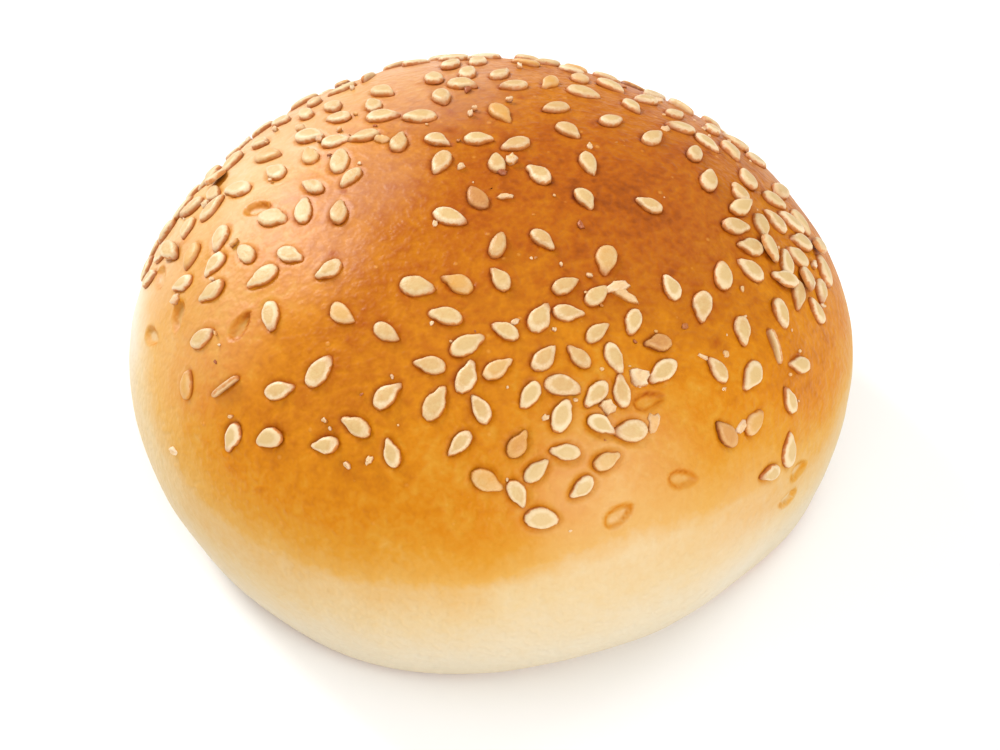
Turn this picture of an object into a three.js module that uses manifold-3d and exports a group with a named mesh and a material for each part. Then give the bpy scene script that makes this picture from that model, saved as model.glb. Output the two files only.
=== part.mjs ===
// A sesame-topped bread roll as one closed body, in millimetres. +Z is up, the origin is
// the middle of the flat foot, and -Y is the side turned to the viewer.

import * as THREE from 'three';
import Module from 'manifold-3d';

const DEG = Math.PI / 180;

// Driving dimensions of the roll
const HALF_WIDTH = 40; // mean radius of the widest ring
const HEIGHT = 41.9; // foot to crown, without the seeds
const WIDEST_HEIGHT = 13.3; // height of the widest ring above the foot
const FOOT_SHARE = 0.875; // foot radius as a share of the widest radius
const DOME_ROUNDNESS = 2.15; // 2 is an ellipse, more is squarer at the shoulder
const SIDE_FULLNESS = 1.96; // more swells out sooner above the foot
const EDGE_ROUND = 2.4; // rounding between the side and the foot

// Swells of the outline: how many go round, their size as a share of the radius, and the
// heading of one of them in degrees, from +X towards +Y
const WIDEST_SWELLS = [
  { count: 2, size: 0.014, heading: -1 },
  { count: 3, size: 0.009, heading: 24 },
  { count: 4, size: 0.016, heading: 6 },
];
const FOOT_SWELLS = [
  { count: 1, size: 0.02, heading: 37 },
  { count: 2, size: 0.032, heading: 7 },
  { count: 3, size: 0.044, heading: -7 },
  { count: 4, size: 0.018, heading: -6 },
];

// Fineness of the crust's mesh
const SPOKES = 48;
const DOME_RINGS = 11;
const SIDE_RINGS = 4;
const EDGE_RINGS = 2;

// One sesame seed: a teardrop with a flat top, baked into the crust. The shares are the
// sizes of its buried foot and of its top against its outline at the crust.
const SEED = {
  length: 3.7,
  width: 2.15,
  height: 0.7, // stands this far out of the crust
  depth: 0.45, // reaches this far into it
  footShare: 1.08,
  topShare: 0.68,
  corners: 8,
  tipSharpness: 0.6, // 0 is an ellipse, more is a sharper tip
};
const SIZE_SPREAD = [0.86, 1.1]; // smallest and largest seed against SEED
const WIDTH_SPREAD = [0.9, 1.1]; // slimmest and widest seed against its own length
const TILT = 4; // a seed leans this many degrees at most

// The seed nearest to each of these spots stands on its edge, rolled by this many degrees
const ON_EDGE_SPOTS = [
  { east: -32, north: -19 },
  { east: 31.5, north: -16 },
  { east: -14, north: 25 },
  { east: 24, north: 27 },
];
const ON_EDGE_ROLL = 80;

// Patches of seeds. East and north are distances along the crust from the crown, reach is
// the patch's radius, and gap is the least distance between the middles of two seeds.
const PATCHES = [
  { name: 'crown', east: 5, north: 1, reach: 14, count: 11, gap: 4.4 },
  { name: 'middle', east: 0, north: -12, reach: 8.5, count: 8, gap: 3.9 },
  { name: 'front', east: -2, north: -21.5, reach: 10, count: 13, gap: 4.0 },
  { name: 'front right', east: 12.5, north: -21.5, reach: 8, count: 14, gap: 2.9 },
  { name: 'front edge', east: 5, north: -30, reach: 9.5, count: 12, gap: 3.3 },
  { name: 'left front', east: -26.5, north: -16, reach: 12, count: 13, gap: 4.4 },
  { name: 'left corner', east: -16.5, north: -31, reach: 6, count: 2, gap: 5.0 },
  { name: 'front left', east: -11, north: -29.5, reach: 4.5, count: 2, gap: 4.0 },
  { name: 'left shoulder', east: -26, north: 1, reach: 12, count: 17, gap: 3.5 },
  { name: 'left back', east: -25.5, north: 16, reach: 14, count: 25, gap: 3.1 },
  { name: 'left side', east: -40, north: 8, reach: 6.5, count: 6, gap: 3.0 },
  { name: 'back crown', east: -3, north: 14.5, reach: 10, count: 10, gap: 3.8 },
  { name: 'back right', east: 14.5, north: 18.5, reach: 9, count: 9, gap: 3.9 },
  { name: 'right back', east: 28, north: 13, reach: 8.5, count: 11, gap: 3.3 },
  { name: 'right shoulder', east: 35, north: 1, reach: 8.5, count: 19, gap: 2.6 },
  { name: 'right front', east: 29, north: -16, reach: 10.5, count: 12, gap: 4.0 },
  { name: 'right low', east: 36, north: -27, reach: 6, count: 2, gap: 4.5 },
  { name: 'back', east: 0, north: 28, reach: 12, count: 17, gap: 3.5 },
  { name: 'far left', east: -22, north: 33, reach: 11, count: 12, gap: 3.8 },
  { name: 'far right', east: 22, north: 31, reach: 11, count: 12, gap: 3.8 },
];
const TRIES_PER_SEED = 80;
const FIRST_DRAW = 6107758;

// Imprints where a seed has come off, each with the way that its tip pointed in degrees
const IMPRINTS = [
  { east: -26.4, north: 2.5, tip: 170 },
  { east: -41, north: 0.4, tip: 100 },
  { east: -37.6, north: -7.9, tip: 60 },
  { east: -43.1, north: -7.2, tip: 120 },
  { east: -28.4, north: -13.4, tip: 200 },
  { east: 17.8, north: -25, tip: 80 },
  { east: 23.1, north: -32.5, tip: 65 },
  { east: 15.4, north: -37.8, tip: 110 },
  { east: 44.1, north: -24.9, tip: 70 },
  { east: 44.5, north: -28.9, tip: 250 },
];
const IMPRINT_DEPTH = 0.5;
const IMPRINT_FLOOR = 0.62; // size of an imprint's floor against a seed's outline
const IMPRINT_FLARE = 1.6; // and the size that its walls would reach at a seed's height
const IMPRINT_CLEARANCE = 3.2; // no seed's middle comes nearer to an imprint than this

function swellShare(swells, heading) {
  let share = 1;
  for (const swell of swells) {
    share += swell.size * Math.cos(swell.count * (heading - swell.heading * DEG));
  }
  return share;
}

// A point of the crust. The way down runs from 0 at the crown over 1 at the widest ring to
// 2 at the edge of the foot.
function crustPoint(heading, way) {
  const widest = HALF_WIDTH * swellShare(WIDEST_SWELLS, heading);
  let radius;
  let height;
  if (way <= 1) {
    const lean = (way * Math.PI) / 2;
    const power = 2 / DOME_ROUNDNESS;
    radius = widest * Math.sin(lean) ** power;
    height = WIDEST_HEIGHT + (HEIGHT - WIDEST_HEIGHT) * Math.max(Math.cos(lean), 0) ** power;
  } else {
    const foot = HALF_WIDTH * FOOT_SHARE * swellShare(FOOT_SWELLS, heading);
    height = WIDEST_HEIGHT * (2 - way);
    radius = foot + (widest - foot) * (1 - (way - 1) ** SIDE_FULLNESS);
    const under = EDGE_ROUND - height;
    if (under > 0) radius -= EDGE_ROUND - Math.sqrt(EDGE_ROUND ** 2 - under ** 2);
  }
  return new THREE.Vector3(radius * Math.cos(heading), radius * Math.sin(heading), height);
}

// The way down that lies a given distance along the crust from the crown
function wayAt(heading, distance) {
  const step = 0.005;
  let way = 0;
  let walked = 0;
  let from = crustPoint(heading, 0);
  while (walked < distance) {
    way += step;
    const to = crustPoint(heading, way);
    const length = to.distanceTo(from);
    walked += length;
    if (walked >= distance) way -= (step * (walked - distance)) / length;
    from = to;
  }
  return way;
}

// A frame on the crust: its origin on the surface, +Z out of the crust, +X turned by yaw
// from straight down the slope, then leaned by tilt about its own +Y and by roll about +X
function crustFrame({ east, north, yaw, tilt, roll }) {
  const heading = Math.atan2(north, east);
  const way = wayAt(heading, Math.hypot(east, north));
  const small = 0.002;
  const at = crustPoint(heading, way);
  const down = crustPoint(heading, way + small).sub(crustPoint(heading, way - small));
  const across = crustPoint(heading + small, way).sub(crustPoint(heading - small, way));
  const out = new THREE.Vector3().crossVectors(down, across).normalize();
  down.normalize();
  const side = new THREE.Vector3().crossVectors(out, down);
  const frame = new THREE.Matrix4().makeBasis(down, side, out);
  frame.multiply(new THREE.Matrix4().makeRotationZ(yaw));
  frame.multiply(new THREE.Matrix4().makeRotationY(tilt));
  frame.multiply(new THREE.Matrix4().makeRotationX(roll));
  return frame.setPosition(at);
}

// The whole crust, as rings joined by bands between the crown and the middle of the foot
function crustGeometry() {
  const ways = [];
  for (let i = 1; i <= DOME_RINGS; i++) ways.push(i / DOME_RINGS);
  const edge = 2 - EDGE_ROUND / WIDEST_HEIGHT;
  for (let i = 1; i <= SIDE_RINGS; i++) ways.push(1 + ((edge - 1) * i) / SIDE_RINGS);
  for (let i = 1; i <= EDGE_RINGS; i++) {
    const rise = 1 - Math.sin((i / EDGE_RINGS) * 90 * DEG);
    ways.push(2 - (EDGE_ROUND * rise) / WIDEST_HEIGHT);
  }
  const points = [crustPoint(0, 0)];
  for (const way of ways) {
    for (let i = 0; i < SPOKES; i++) points.push(crustPoint((360 * DEG * i) / SPOKES, way));
  }
  points.push(new THREE.Vector3(0, 0, 0));
  const crown = 0;
  const middle = points.length - 1;
  const at = (ring, spoke) => 1 + ring * SPOKES + (spoke % SPOKES);
  const faces = [];
  for (let i = 0; i < SPOKES; i++) {
    faces.push(crown, at(0, i), at(0, i + 1));
    for (let ring = 0; ring + 1 < ways.length; ring++) {
      faces.push(at(ring, i), at(ring + 1, i), at(ring + 1, i + 1));
      faces.push(at(ring, i), at(ring + 1, i + 1), at(ring, i + 1));
    }
    faces.push(middle, at(ways.length - 1, i + 1), at(ways.length - 1, i));
  }
  return closedGeometry(points, faces);
}

// A point of the teardrop outline, of unit half length and half width, with its tip at +X
function teardrop(angle) {
  const bulge = (turn) => Math.sin(turn) * Math.abs(Math.sin(turn / 2)) ** SEED.tipSharpness;
  const widest = Math.acos(-SEED.tipSharpness / (2 + SEED.tipSharpness));
  return [Math.cos(angle), bulge(angle) / bulge(widest)];
}

// A teardrop block in its own frame, from a foot ring to a smaller or larger top, which has
// every second corner of the foot
function teardropGeometry({ length, width, footLevel, footShare, topLevel, topShare }) {
  const count = SEED.corners;
  const points = [];
  for (const [level, share, step] of [[footLevel, footShare, 1], [topLevel, topShare, 2]]) {
    for (let i = 0; i < count; i += step) {
      const [along, aside] = teardrop((360 * DEG * i) / count);
      const x = (length / 2) * share * along;
      const y = (width / 2) * share * aside;
      points.push(new THREE.Vector3(x, y, level));
    }
  }
  const faces = [];
  for (let i = 0; i < count; i += 2) {
    const after = (i + 2) % count;
    const top = count + i / 2;
    const topAfter = count + after / 2;
    faces.push(i, i + 1, top, i + 1, topAfter, top, i + 1, after, topAfter);
  }
  for (let i = 1; i + 1 < count; i++) faces.push(0, i + 1, i);
  for (let i = 1; i + 1 < count / 2; i++) faces.push(count, count + i, count + i + 1);
  return closedGeometry(points, faces);
}

function closedGeometry(points, faces) {
  const geometry = new THREE.BufferGeometry().setFromPoints(points);
  geometry.setIndex(faces);
  return geometry;
}

// Random numbers from 0 to 1 that come out the same each time
let drawn = FIRST_DRAW;
function draw() {
  drawn = (drawn * 16807) % 2147483647;
  return drawn / 2147483647;
}
const between = ([low, high]) => low + (high - low) * draw();

// Lays the seeds patch by patch: each is thrown at random into its patch, and stays where
// it is clear of the seeds and imprints that lie there already
function scatterSeeds() {
  const seeds = [];
  for (const patch of PATCHES) {
    let laid = 0;
    for (let tries = 0; laid < patch.count && tries < TRIES_PER_SEED * patch.count; tries++) {
      const far = patch.reach * Math.sqrt(draw());
      const bearing = 2 * Math.PI * draw();
      const east = patch.east + far * Math.cos(bearing);
      const north = patch.north + far * Math.sin(bearing);
      const near = (spot, gap) => Math.hypot(east - spot.east, north - spot.north) < gap;
      if (seeds.some((seed) => near(seed, patch.gap))) continue;
      if (IMPRINTS.some((imprint) => near(imprint, IMPRINT_CLEARANCE))) continue;
      const yaw = 2 * Math.PI * draw();
      const size = between(SIZE_SPREAD);
      const slim = between(WIDTH_SPREAD);
      const tilt = TILT * DEG * (2 * draw() - 1);
      seeds.push({ east, north, yaw, size, slim, tilt, roll: 0 });
      laid++;
    }
  }
  for (const spot of ON_EDGE_SPOTS) {
    const gapTo = (seed) => Math.hypot(seed.east - spot.east, seed.north - spot.north);
    const nearest = seeds.reduce((best, seed) => (gapTo(seed) < gapTo(best) ? seed : best));
    nearest.roll = ON_EDGE_ROLL * DEG;
  }
  return seeds;
}

const wasm = await Module();
wasm.setup();

function toSolid(geometry) {
  const mesh = new wasm.Mesh({
    numProp: 3,
    vertProperties: Float32Array.from(geometry.attributes.position.array),
    triVerts: Uint32Array.from(geometry.index.array),
  });
  return new wasm.Manifold(mesh);
}

function fromSolid(solid) {
  const mesh = solid.getMesh();
  const geometry = new THREE.BufferGeometry();
  geometry.setAttribute('position', new THREE.BufferAttribute(mesh.vertProperties, 3));
  geometry.setIndex(new THREE.BufferAttribute(mesh.triVerts, 1));
  geometry.computeVertexNormals();
  return geometry;
}

// The roll: the crust, less the imprints, with the seeds baked in
function rollGeometry() {
  let roll = toSolid(crustGeometry());
  for (const imprint of IMPRINTS) {
    const hollow = teardropGeometry({
      length: SEED.length,
      width: SEED.width,
      footLevel: -IMPRINT_DEPTH,
      footShare: IMPRINT_FLOOR,
      topLevel: SEED.height,
      topShare: IMPRINT_FLARE,
    });
    hollow.applyMatrix4(crustFrame({ ...imprint, yaw: imprint.tip * DEG, tilt: 0, roll: 0 }));
    roll = roll.subtract(toSolid(hollow));
  }
  for (const seed of scatterSeeds()) {
    const flat = seed.roll === 0;
    const block = teardropGeometry({
      length: SEED.length * seed.size,
      width: SEED.width * seed.size * seed.slim,
      footLevel: flat ? -SEED.depth : -SEED.height / 2,
      footShare: SEED.footShare,
      topLevel: flat ? SEED.height : SEED.height / 2,
      topShare: SEED.topShare,
    });
    block.applyMatrix4(crustFrame(seed));
    roll = roll.add(toSolid(block));
  }
  return fromSolid(roll);
}

const crustFinish = new THREE.MeshStandardMaterial({ color: 0xd68a2e, roughness: 0.45, metalness: 0 });

const breadRoll = new THREE.Mesh(rollGeometry(), crustFinish);
breadRoll.name = 'bread_roll';

const group = new THREE.Group();
group.add(breadRoll);

export default group;
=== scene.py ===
import math

import bpy
import numpy as np
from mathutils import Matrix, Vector, noise


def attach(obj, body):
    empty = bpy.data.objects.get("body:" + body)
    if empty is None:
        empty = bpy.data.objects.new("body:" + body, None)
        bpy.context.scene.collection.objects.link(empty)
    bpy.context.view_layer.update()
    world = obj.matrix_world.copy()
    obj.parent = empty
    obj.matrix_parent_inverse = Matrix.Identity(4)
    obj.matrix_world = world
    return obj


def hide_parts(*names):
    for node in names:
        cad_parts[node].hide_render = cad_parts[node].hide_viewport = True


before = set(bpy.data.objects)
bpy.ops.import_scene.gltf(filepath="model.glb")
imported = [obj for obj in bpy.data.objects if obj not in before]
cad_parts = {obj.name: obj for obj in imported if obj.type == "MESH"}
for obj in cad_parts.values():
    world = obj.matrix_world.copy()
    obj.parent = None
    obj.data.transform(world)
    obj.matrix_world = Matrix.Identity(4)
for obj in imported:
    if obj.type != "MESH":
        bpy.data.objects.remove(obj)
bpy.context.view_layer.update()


# The crust: the baked skin of a round of soft dough that was brushed with egg. It is amber and
# glossy over the dome, golden down the sides, and still pale and matt just above the foot.
# Sizes are in millimetres, and become metres where a mesh is made.
MM = 0.001
HALF_WIDTH = 40  # mean radius of the widest ring
HEIGHT = 41.9  # foot to crown, without the seeds
WIDEST_HEIGHT = 13.3  # height of the widest ring above the foot
FOOT_SHARE = 0.875  # foot radius before its edge is rounded, as a share of HALF_WIDTH
DOME_ROUNDNESS = 2.15  # 2 is an ellipse, more is squarer at the shoulder
SIDE_FULLNESS = 1.96  # more swells out sooner above the foot
EDGE_ROUND = 2.4  # rounding between the side and the foot

# How many swells go round the outline, their size as a share of the radius, and their heading
WIDEST_SWELLS = [(2, 0.014, -1), (3, 0.009, 24), (4, 0.016, 6)]
FOOT_SWELLS = [(1, 0.02, 37), (2, 0.032, 7), (3, 0.044, -7), (4, 0.018, -6)]


def swell(swells, heading):
    return sum(size * np.cos(count * (heading - math.radians(turned)))
               for count, size, turned in swells)


def crust_point(heading, way):
    """A point of the smooth crust. The way down runs from 0 at the crown over 1 at the widest
    ring to 2 at the edge of the foot."""
    heading, way = np.broadcast_arrays(heading, way)
    widest = HALF_WIDTH * (1 + swell(WIDEST_SWELLS, heading))
    foot = HALF_WIDTH * FOOT_SHARE * (1 + swell(FOOT_SWELLS, heading))
    power = 2 / DOME_ROUNDNESS
    lean = np.clip(way, 0, 1) * math.pi / 2
    dome_radius = widest * np.sin(lean) ** power
    dome_height = WIDEST_HEIGHT + (HEIGHT - WIDEST_HEIGHT) * np.clip(np.cos(lean), 0, 1) ** power
    below = np.clip(way - 1, 0, 1)
    side_height = WIDEST_HEIGHT * (1 - below)
    side_radius = foot + (widest - foot) * (1 - below ** SIDE_FULLNESS)
    under = np.clip(EDGE_ROUND - side_height, 0, EDGE_ROUND)
    side_radius = side_radius - EDGE_ROUND + np.sqrt(EDGE_ROUND ** 2 - under ** 2)
    radius = np.where(way <= 1, dome_radius, side_radius)
    height = np.where(way <= 1, dome_height, side_height)
    return np.stack([radius * np.cos(heading), radius * np.sin(heading), height], axis=-1)


# A step in heading or way that is small enough to give the slope at a point
NUDGE = 0.002


def crust_normal(heading, way):
    down = crust_point(heading, way + NUDGE) - crust_point(heading, np.maximum(way - NUDGE, 0))
    across = crust_point(heading + NUDGE, way) - crust_point(heading - NUDGE, way)
    out = np.cross(down, across)
    length = np.linalg.norm(out, axis=-1, keepdims=True)
    return np.where(length > 1e-9, out / np.maximum(length, 1e-9), [0.0, 0.0, 1.0])


WAY_STEP = 0.005
WAYS = np.arange(0, 2 + WAY_STEP / 2, WAY_STEP)


def walked(heading):
    """How far along the crust each of WAYS lies from the crown."""
    steps = np.diff(crust_point(heading, WAYS), axis=0)
    return np.concatenate([[0], np.cumsum(np.linalg.norm(steps, axis=1))])


def unit(vectors):
    return vectors / np.linalg.norm(vectors, axis=-1, keepdims=True)


def turn_z(angle):
    c, s = math.cos(angle), math.sin(angle)
    return np.array([[c, -s, 0], [s, c, 0], [0, 0, 1]])


def turn_y(angle):
    c, s = math.cos(angle), math.sin(angle)
    return np.array([[c, 0, s], [0, 1, 0], [-s, 0, c]])


def crust_frame(east, north):
    """The place on the crust that lies this far east and north of the crown, measured along the
    crust, and its axes: down the slope, along it, and out of the crust."""
    heading = math.atan2(north, east)
    way = np.interp(math.hypot(east, north), walked(heading), WAYS)
    down = unit(crust_point(heading, way + NUDGE) - crust_point(heading, way - NUDGE))
    across = crust_point(heading + NUDGE, way) - crust_point(heading - NUDGE, way)
    out = unit(np.cross(down, across))
    return crust_point(heading, way), np.stack([down, np.cross(out, down), out], axis=1)


# The low lumps that the dough's bubbles leave in the crust: how wide they are and how high. They
# fade out from this height down to the foot.
LUMPS = [(22, 0.5), (8, 0.2), (3.2, 0.05), (1.5, 0.018)]
LUMPS_FADE_BELOW = 4


def lumps(points):
    rise = np.zeros(len(points))
    for i, point in enumerate(points):
        for size, height in LUMPS:
            rise[i] += height * noise.noise(Vector(point) / size)
    return rise * np.clip(points[:, 2] / LUMPS_FADE_BELOW, 0, 1) ** 0.5


# One sesame seed. The spreads are the smallest and largest seed, and the slimmest and widest one
# for its own length, and a seed leans by the tilt in degrees at most.
SEED_LENGTH = 3.7
SEED_WIDTH = 2.08
SEED_HEIGHT = 0.7
TIP_SHARPNESS = 0.6
SIZE_SPREAD = (0.86, 1.1)
WIDTH_SPREAD = (0.9, 1.1)
TILT = 4

# Patches of seeds: east, north, reach, count, and the least gap between the seeds' middles
PATCHES = [
    (5, 1, 14, 11, 4.4),
    (0, -12, 8.5, 8, 3.9),
    (-2, -21.5, 10, 13, 4.0),
    (12.5, -21.5, 8, 14, 2.9),
    (5, -30, 9.5, 12, 3.3),
    (-26.5, -16, 12, 13, 4.4),
    (-16.5, -31, 6, 2, 5.0),
    (-11, -29.5, 4.5, 2, 4.0),
    (-26, 1, 12, 17, 3.5),
    (-25.5, 16, 14, 25, 3.1),
    (-40, 8, 6.5, 6, 3.0),
    (-3, 14.5, 10, 10, 3.8),
    (14.5, 18.5, 9, 9, 3.9),
    (28, 13, 8.5, 11, 3.3),
    (35, 1, 8.5, 19, 2.6),
    (29, -16, 10.5, 12, 4.0),
    (36, -27, 6, 2, 4.5),
    (0, 28, 12, 17, 3.5),
    (-22, 33, 11, 12, 3.8),
    (22, 31, 11, 12, 3.8),
]
TRIES_PER_SEED = 80

# Imprints where a seed has come off: east, north and the way that its tip pointed
IMPRINTS = [
    (-26.4, 2.5, 170),
    (-41, 0.4, 100),
    (-37.6, -7.9, 60),
    (-43.1, -7.2, 120),
    (-28.4, -13.4, 200),
    (17.8, -25, 80),
    (23.1, -32.5, 65),
    (15.4, -37.8, 110),
    (44.1, -24.9, 70),
    (44.5, -28.9, 250),
]
IMPRINT_CLEARANCE = 3.2

# The seed nearest to each of these spots stands on its edge: east and north
ON_EDGE_SPOTS = [(-32, -19), (31.5, -16), (-14, 25), (24, 27)]

FIRST_DRAW = 6107758
DRAW_FACTOR = 16807
DRAW_RANGE = 2147483647
drawn = FIRST_DRAW


def draw():
    """A random number from 0 to 1. The numbers come out the same each time."""
    global drawn
    drawn = (drawn * DRAW_FACTOR) % DRAW_RANGE
    return drawn / DRAW_RANGE


def between(low, high):
    return low + (high - low) * draw()


def nearest(group, east, north):
    return min(group, key=lambda seed: math.hypot(seed["east"] - east, seed["north"] - north))


def lay_seeds():
    """Throws the seeds patch by patch, and keeps those that are clear of what lies there."""
    laid = []
    for middle_east, middle_north, reach, count, gap in PATCHES:
        kept = 0
        for _ in range(TRIES_PER_SEED * count):
            if kept == count:
                break
            far = reach * math.sqrt(draw())
            bearing = 2 * math.pi * draw()
            east = middle_east + far * math.cos(bearing)
            north = middle_north + far * math.sin(bearing)
            if any(math.hypot(east - s["east"], north - s["north"]) < gap for s in laid):
                continue
            if any(math.hypot(east - i[0], north - i[1]) < IMPRINT_CLEARANCE for i in IMPRINTS):
                continue
            yaw = 2 * math.pi * draw()
            size = between(*SIZE_SPREAD)
            slim = between(*WIDTH_SPREAD)
            tilt = math.radians(TILT) * (2 * draw() - 1)
            place, axes = crust_frame(east, north)
            axes = axes @ turn_z(yaw) @ turn_y(tilt)
            laid.append({"east": east, "north": north, "place": place, "axes": axes,
                         "length": SEED_LENGTH * size, "width": SEED_WIDTH * size * slim,
                         "on_edge": False, "toasted": False})
            kept += 1
    for east, north in ON_EDGE_SPOTS:
        nearest(laid, east, north)["on_edge"] = True
    return laid


def around(count):
    """The angles of this many points, evenly spaced round a ring."""
    return np.arange(count) * 2 * math.pi / count


def teardrop(angle, sharpness=TIP_SHARPNESS):
    """The outline of a seed, of unit half length and half width, with its tip at +X."""
    def bulge(turn):
        return np.sin(turn) * np.abs(np.sin(turn / 2)) ** sharpness
    widest = math.acos(-sharpness / (2 + sharpness))
    return np.cos(angle), bulge(angle) / bulge(widest)


OUTLINE_CORNERS = 40


def from_outline(x, y, length, width):
    """How far points lie outside a seed's outline, less than 0 inside it."""
    along, aside = teardrop(around(OUTLINE_CORNERS))
    corners = np.stack([along * length / 2, aside * width / 2], axis=1)
    edges = np.roll(corners, -1, axis=0) - corners
    offsets = np.stack([x, y], axis=1)[:, None, :] - corners
    share = np.clip((offsets * edges).sum(-1) / (edges ** 2).sum(-1), 0, 1)
    gaps = np.linalg.norm(offsets - share[..., None] * edges, axis=-1).min(1)
    unit_x = np.clip(2 * x / length, -1, 1)
    half_width = teardrop(np.arccos(unit_x))[1] * width / 2
    inside = (np.abs(x) < length / 2) & (np.abs(y) < half_width)
    return np.where(inside, -gaps, gaps)


def smooth(low, high, value):
    """0 below low, 1 above high, and a smooth rise in between."""
    t = np.clip((value - low) / (high - low), 0, 1)
    return t * t * (3 - 2 * t)


seeds = lay_seeds()

# The crust's mesh is rings of points from the crown round to the middle of the underside, each
# with as many points as keeps the triangles even
GRAIN = 0.37
FEWEST_IN_RING = 6


def ring_band(first, count, next_first, next_count):
    """Triangles between two rings of evenly spaced points, which start at these numbers."""
    i = np.arange(count)
    j = np.arange(next_count)
    i_at_j = -((next_count - (2 * j + 1) * count) // (2 * next_count))
    j_at_i = ((2 * i + 1) * next_count - count) // (2 * count) + 1
    fans = np.stack([first + i_at_j % count, next_first + j, next_first + (j + 1) % next_count], 1)
    backs = np.stack([first + i, next_first + j_at_i % next_count, first + (i + 1) % count], 1)
    return np.concatenate([fans, backs])


mean_walk = np.mean([walked(turned) for turned in np.radians(np.arange(0, 360, 15))], axis=0)
ring_ways = np.interp(np.arange(GRAIN, mean_walk[-1], GRAIN), mean_walk, WAYS)
headings, ways, ring_counts = [], [], []
for ring_way in np.append(ring_ways, 2.0):
    radius = np.hypot(*crust_point(0.0, ring_way)[:2])
    count = max(FEWEST_IN_RING, round(2 * math.pi * radius / GRAIN))
    headings.append(around(count))
    ways.append(np.full(count, ring_way))
    ring_counts.append(count)
heading = np.concatenate([[0], *headings])
way = np.concatenate([[0], *ways])
points = crust_point(heading, way)
normals = crust_normal(heading, way)

# How far each point lies from the crown along the crust, read off a table that has a row for
# each degree of heading and a column for each of WAYS
walked_table = np.stack([walked(turned) for turned in np.radians(np.arange(361))])
row_at = np.degrees(heading) % 360
column_at = np.clip(way / WAY_STEP, 0, len(WAYS) - 1)
row = row_at.astype(int)
column = np.minimum(column_at.astype(int), len(WAYS) - 2)


def walked_in(row):
    before, after = walked_table[row, column], walked_table[row, column + 1]
    return before + (column_at - column) * (after - before)


distance = walked_in(row) + (row_at - row) * (walked_in(row + 1) - walked_in(row))
crust_east = distance * np.cos(heading)
crust_north = distance * np.sin(heading)

# How far the crust has browned, from 0 where it is still pale dough to 1 where it is amber. The
# pale band reaches highest on the side turned to the viewer, and the crown is the brownest.
PALE_BELOW = 60.8  # distance from the crown at which the pale band starts
PALE_SWELLS = [(1, 5.5, 88), (2, 1.9, 31), (3, 1.0, 13)]  # sizes in millimetres
BROWNING_FADE = (2, 20)  # distances above the pale band between which the browning comes in
CROWN_BROWNING = 1.22
BROWNING_LOST = 0.008  # for each millimetre away from the crown
FAINT_BROWNING = 0.22
FAINT_FADE = (-6, 10)
above_pale = PALE_BELOW + swell(PALE_SWELLS, heading) - distance
bake = (CROWN_BROWNING - BROWNING_LOST * distance) * smooth(*BROWNING_FADE, above_pale)
bake = np.maximum(bake, FAINT_BROWNING * smooth(*FAINT_FADE, above_pale))

# Where the oven has browned the crust more or less: east, north, reach and how much. Crust that
# is paler than half browned takes less of it.
BROWNING_SPOTS = [
    (18, -2, 14, 0.23),
    (0, -11, 12, -0.1),
    (-12, -19, 8, 0.06),
    (4, 19, 9, -0.1),
    (17, -27, 11, -0.38),
    (3, -34, 12, -0.32),
    (-14, -32, 9, -0.14),
    (39, -4, 13, -0.2),
    (31, -22, 9, -0.24),
    (46, -17, 10, 0.28),
    (38, -34, 9, 0.2),
    (-46, 0, 14, -0.54),
    (-25, 13, 14, -0.54),
    (-12, 25, 11, -0.26),
    (-23, -9, 9, -0.26),
    (-38, -15, 13, -0.26),
    (-40, 18, 14, -0.3),
    (-28, 34, 14, -0.2),
    (4, -50, 9, -0.2),
    (4, -43.5, 5.5, 0.28),
    (-3, -46, 5, 0.16),
]
HALF_BROWNED = 0.5
for east, north, reach, amount in BROWNING_SPOTS:
    far = np.hypot(crust_east - east, crust_north - north)
    taken = np.clip(bake / HALF_BROWNED, 0, 1)
    bake = bake + amount * np.exp(-(far / reach) ** 2) * taken

# Each seed lies in a socket that it pressed into the dough, with a low lip round it. Low on the
# side turned to the viewer the dough has risen round the seeds, so the sockets there are deeper
# and wider.
SOCKET_DEPTH = 0.1
SOCKET_WIDTH = 0.18
LIP_RISE = 0.05
LIP_OUT = 0.5
LIP_WIDTH = 0.3
SUNK_FROM_NORTH = -14  # north of this no seed is sunk
SUNK_AT_NORTH = -34  # and south of this each seed is fully sunk
SUNK_DEEPER = 2.2
SUNK_WIDER = 1.2

# Each seed has a brown line round its foot: egg wash that baked there, darkened with painted
# contact shade. The line is painted wider and darker on the side of the seed that faces the shade
# spot, east and north.
SHADE_SPOT = (-20, -17)
SHADE_SIDE_NEAR = 4  # a seed nearer to the shade spot than this has less of a shaded side
LINE_WIDTH = 0.18
LINE_BROWNING_AND_SHADE = 0.43
SHADED_SIDE_GAIN = 0.55
MOST_SHADED_SIDE = 1.5
SUNK_LINE_WIDER = 0.5
SUNK_LINE_PALER = 0.12
SUNK_SHADED_SIDE_GAIN = 0.25

# An imprint has steep walls, a lip, a scorched ring with painted shade that makes it darkest
# uphill, and a paler floor.
# Distances are from the outline of the lost seed, less than 0 inside it.
IMPRINT_DEPTH = 0.5
IMPRINT_WIDTH = 0.9  # as a share of a seed's width
IMPRINT_WALL = (0.1, -0.35)
IMPRINT_LIP = 1.6  # as a share of a socket's lip
IMPRINT_LIP_OUT = 0.25
RING_AT = -0.1
RING_WIDTH = 0.22
RING_BROWNING = 0.55  # on pale crust, and this much more on amber crust
RING_BROWNING_MORE = 0.9
RING_UPHILL_SHADE = 0.3
SPARED_INSIDE = (-0.25, -0.6)
SPARED = 0.6

NEARBY = 4  # points farther than this from a seed aren't changed by it
shade_spot_place = crust_frame(*SHADE_SPOT)[0]
rise = lumps(points)
socket, lip, scorch, spared = np.zeros((4, len(points)))


def near_points(place):
    return np.nonzero(((points - place) ** 2).sum(1) < NEARBY ** 2)[0]


def raise_to(layer, near, values):
    layer[near] = np.maximum(layer[near], values)


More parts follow.
